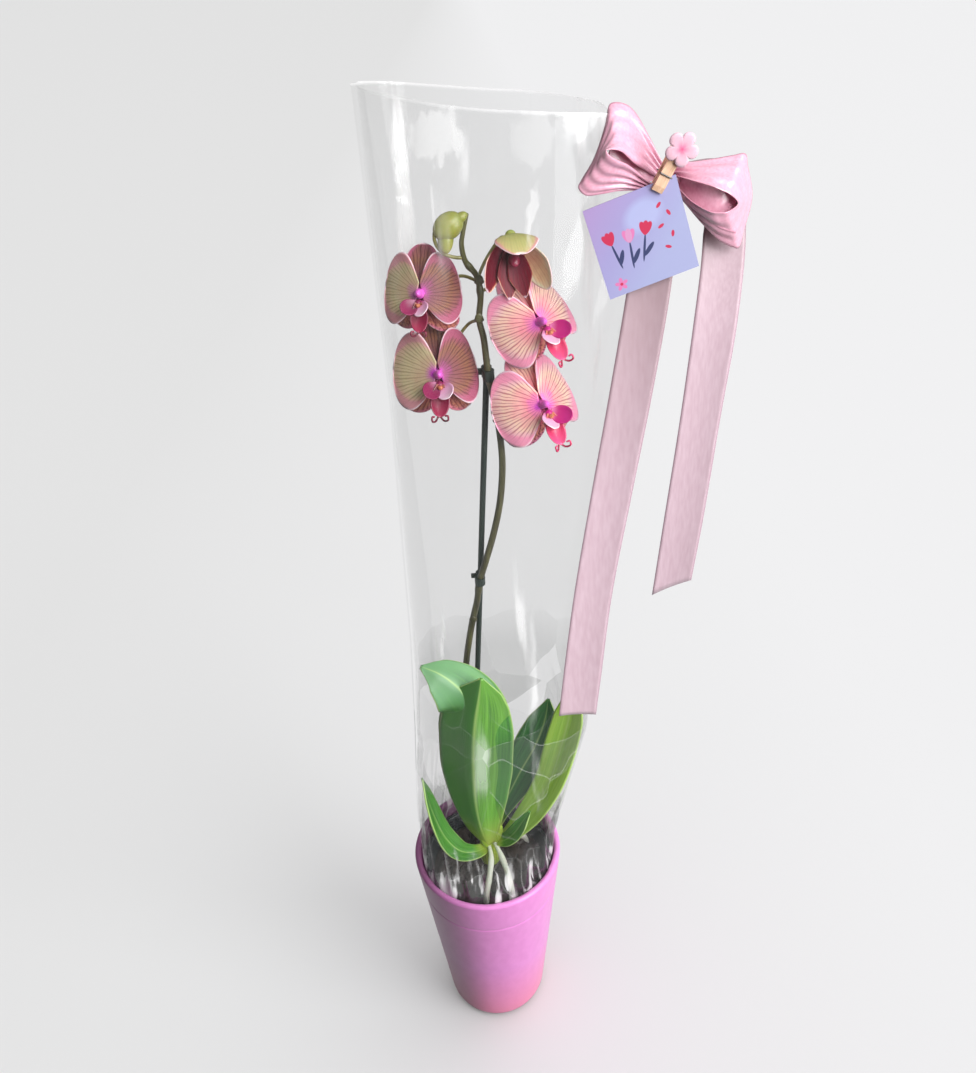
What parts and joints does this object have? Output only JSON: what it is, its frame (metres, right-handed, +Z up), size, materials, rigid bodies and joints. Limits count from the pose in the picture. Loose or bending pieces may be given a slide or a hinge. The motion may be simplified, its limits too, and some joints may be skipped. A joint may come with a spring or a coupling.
{
  "type": "potted orchid",
  "caption": "Potted moth orchid in flower on a staked spike, in a tall tapered glazed pot, wrapped in a clear film sleeve with a satin bow and a card on a small wooden peg.",
  "frame": {"origin": "middle of the pot's foot, on the surface that it stands on", "axes": "+X to the viewer's right, +Y to the back, +Z up the pot and the flower spike"},
  "size_m": [0.2406, 0.1294, 0.813],
  "materials": {
    "pink_glaze": "satin",
    "smoky_plastic": "satin",
    "bark_chips": "matte",
    "root_skin": "satin",
    "leaf_green": "satin",
    "leaf_light_green": "satin",
    "stem_brown_green": "satin",
    "bud_green": "satin",
    "petal_salmon": "satin",
    "lip_magenta": "satin",
    "dark_stake": "satin",
    "clear_film": "polished",
    "pink_satin": "satin",
    "printed_card": "matte",
    "peg_wood": "matte",
    "spring_steel": "satin",
    "pink_felt": "matte"
  },
  "bodies": {
    "wrapped_orchid": {"cachepot": "pink_glaze", "growing_pot": "smoky_plastic", "bark": "bark_chips", "crown_and_roots": "root_skin", "leaf_front": "leaf_green", "leaf_back_right": "leaf_green", "leaf_right": "leaf_light_green", "leaf_left": "leaf_green", "leaf_small": "leaf_green", "flower_spike": "stem_brown_green", "bud": "bud_green", "bloom_1_tepals": "petal_salmon", "bloom_1_lip": "lip_magenta", "bloom_2_tepals": "petal_salmon", "bloom_2_lip": "lip_magenta", "bloom_4_tepals": "petal_salmon", "bloom_4_lip": "lip_magenta", "bloom_5_tepals": "petal_salmon", "bloom_5_lip": "lip_magenta", "bloom_3_tepals": "petal_salmon", "bloom_3_lip": "lip_magenta", "stake": "dark_stake", "clip_lower": "dark_stake", "clip_upper": "dark_stake", "film_sleeve": "clear_film", "bow_knot": "pink_satin", "bow_loop_left": "pink_satin", "bow_loop_right": "pink_satin", "ribbon_tail_left": "pink_satin", "ribbon_tail_right": "pink_satin", "card": "printed_card", "peg_lever_back": "peg_wood", "peg_spring": "spring_steel", "peg_wire_back": "spring_steel"},
    "peg_front_lever": {"peg_lever_front": "peg_wood", "peg_wire_front": "spring_steel", "peg_flower": "pink_felt"}
  },
  "joints": [
    {"name": "peg_hinge", "type": "hinge", "parent": "wrapped_orchid", "child": "peg_front_lever", "pos_m": [0.1214, -0.033, 0.7651], "axis": [-0.8829, 0, 0.4695], "range_deg": [0, 12], "stiffness_Nm_per_rad": 0.02, "springref_deg": -9.74}
  ]
}
